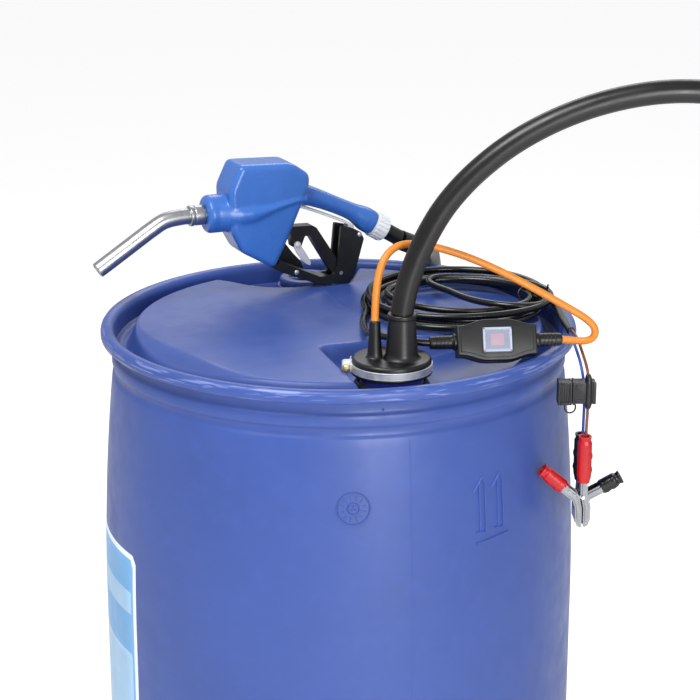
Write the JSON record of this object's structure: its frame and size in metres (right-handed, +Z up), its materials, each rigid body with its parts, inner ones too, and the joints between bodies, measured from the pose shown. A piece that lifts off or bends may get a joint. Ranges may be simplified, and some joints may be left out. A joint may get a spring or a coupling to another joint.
{
  "type": "submersible drum pump set",
  "caption": "Low-voltage submersible drum pump on a plastic drum: rubber bung cap, hose, automatic nozzle, cable with switch, fuse holder and battery clamps.",
  "frame": {"origin": "centre of the drum's foot, on the floor", "axes": "+Z up, +X to the right of a person who faces the front bung, +Y away from them"},
  "size_m": [0.9659, 0.6581, 1.2588],
  "materials": {
    "drum_plastic": "blown HDPE, blue, satin",
    "bung_plastic": "moulded plastic, blue",
    "cap_rubber": "moulded black rubber",
    "bright_steel": "stainless strip and tube",
    "zinc_steel": "zinc-plated steel",
    "clamp_steel": "plated pressed steel",
    "hose_rubber": "smooth black rubber hose",
    "orange_sheath": "orange PUR sheath",
    "black_sheath": "black PVC sheath",
    "live_sheath": "brown core",
    "return_sheath": "blue core",
    "black_plastic": "moulded black plastic",
    "clear_plastic": "clear splash cover",
    "red_plastic": "red plastic",
    "fuse_plastic": "tinted fuse body",
    "red_sleeve": "dipped red PVC",
    "black_sleeve": "dipped black PVC",
    "nozzle_plastic": "moulded blue plastic",
    "grey_plastic": "moulded light grey plastic",
    "magnet_iron": "ferrite and laminations",
    "bearing_bronze": "sintered bronze"
  },
  "bodies": {
    "root": {"band_clamp": "bright_steel", "battery_cable_far": "black_sheath", "battery_cable_near": "black_sheath", "black_clamp_arm": "clamp_steel", "black_clamp_grip": "black_sleeve", "blade_fuse": "fuse_plastic", "cable_coil": "black_sheath", "cable_tie": "black_sheath", "clamp_pins": "zinc_steel", "clamp_springs": "zinc_steel", "delivery_hose": "hose_rubber", "drum_shell": "drum_plastic", "fuse_body": "black_plastic", "hose_clip": "bright_steel", "jacket_sleeve": "black_sheath", "live_lead": "live_sheath", "magnets": "magnet_iron", "motor_bearings": "bearing_bronze", "motor_can": "zinc_steel", "orange_cable": "orange_sheath", "pump_cable": "orange_sheath", "pump_casing": "bright_steel", "pump_top_cover": "black_plastic", "red_clamp_arm": "clamp_steel", "red_clamp_grip": "red_sleeve", "return_lead": "return_sheath", "riser_hose": "hose_rubber", "rubber_cap": "cap_rubber", "shaft_seal": "grey_plastic", "strain_reliefs": "cap_rubber", "strainer": "bright_steel", "switch_base": "black_plastic", "switch_cover": "black_plastic", "switch_module": "black_plastic", "switch_screws": "zinc_steel", "switch_window": "clear_plastic", "swivel_nut": "grey_plastic", "swivel_tail": "black_plastic", "volute_ring": "black_plastic"},
    "pump_rotor": {"motor_shaft": "zinc_steel", "impeller": "grey_plastic", "armature": "magnet_iron"},
    "band_screw": {"clamp_screw": "zinc_steel"},
    "rear_bung": {"rear_bung_plug": "bung_plastic"},
    "nozzle": {"nozzle_body": "nozzle_plastic", "handle_strip": "grey_plastic", "spout": "bright_steel", "spout_nut": "grey_plastic", "guard": "black_plastic", "lever_pin": "zinc_steel", "valve_spring": "zinc_steel"},
    "nozzle_lever": {"lever": "black_plastic"},
    "latch": {"hold_open_latch": "bright_steel"},
    "valve": {"valve_poppet": "grey_plastic"},
    "switch_rocker": {"rocker": "red_plastic"},
    "fuse_lid": {"fuse_cap": "black_plastic"},
    "red_lever": {"red_clamp_lever": "clamp_steel", "red_lever_grip": "red_sleeve"},
    "black_lever": {"black_clamp_lever": "clamp_steel", "black_lever_grip": "black_sleeve"}
  },
  "joints": [
    {"name": "rotor_spin", "type": "hinge", "parent": "root", "child": "pump_rotor", "pos_m": [0.0705, -0.196, 0.1], "axis": [0, 0, 1], "continuous": true},
    {"name": "band_screw_turn", "type": "hinge", "parent": "root", "child": "band_screw", "pos_m": [0.008, -0.191, 0.9345], "axis": [0, 1, 0], "continuous": true},
    {"name": "rear_bung_lift", "type": "slide", "parent": "root", "child": "rear_bung", "axis": [0, 0, 1], "range_m": [0, 0.04]},
    {"name": "nozzle_swivel", "type": "hinge", "parent": "root", "child": "nozzle", "pos_m": [0.04204, 0.19096, 1.0061], "axis": [-0.7831, -0.3486, 0.515], "range_deg": [-40, 40]},
    {"name": "lever_squeeze", "type": "hinge", "parent": "nozzle", "child": "nozzle_lever", "pos_m": [-0.00182, 0.17144, 0.9475], "axis": [-0.4067, 0.9135, 0], "range_deg": [0, 14], "stiffness_Nm_per_rad": 2, "springref_deg": -11.46},
    {"name": "latch_swing", "type": "hinge", "parent": "nozzle_lever", "child": "latch", "pos_m": [-0.05572, 0.14744, 0.9905], "axis": [0.4067, -0.9135, 0], "range_deg": [0, 25]},
    {"name": "valve_lift", "type": "slide", "parent": "nozzle", "child": "valve", "axis": [0.9135, 0.4067, 0], "range_m": [0, 0.004]},
    {"name": "rocker_tilt", "type": "hinge", "parent": "root", "child": "switch_rocker", "pos_m": [0.17955, -0.15762, 0.95366], "axis": [-0.0369, 0.421, 0.9063], "range_deg": [-6, 6]},
    {"name": "fuse_cap_pull", "type": "slide", "parent": "root", "child": "fuse_lid", "axis": [-1, 0, 0], "range_m": [0, 0.018]},
    {"name": "red_clamp_open", "type": "hinge", "parent": "root", "child": "red_lever", "pos_m": [0.281, -0.177, 0.772], "axis": [0, 1, 0], "range_deg": [0, 18], "stiffness_Nm_per_rad": 1.5, "springref_deg": -17.19},
    {"name": "black_clamp_open", "type": "hinge", "parent": "root", "child": "black_lever", "pos_m": [0.2815, -0.154, 0.767], "axis": [0, -1, 0], "range_deg": [0, 24], "stiffness_Nm_per_rad": 1.5, "springref_deg": -17.19}
  ],
  "couplings": [
    {"joint": "valve_lift", "follows": "lever_squeeze", "m_per_rad": 0.01637}
  ]
}
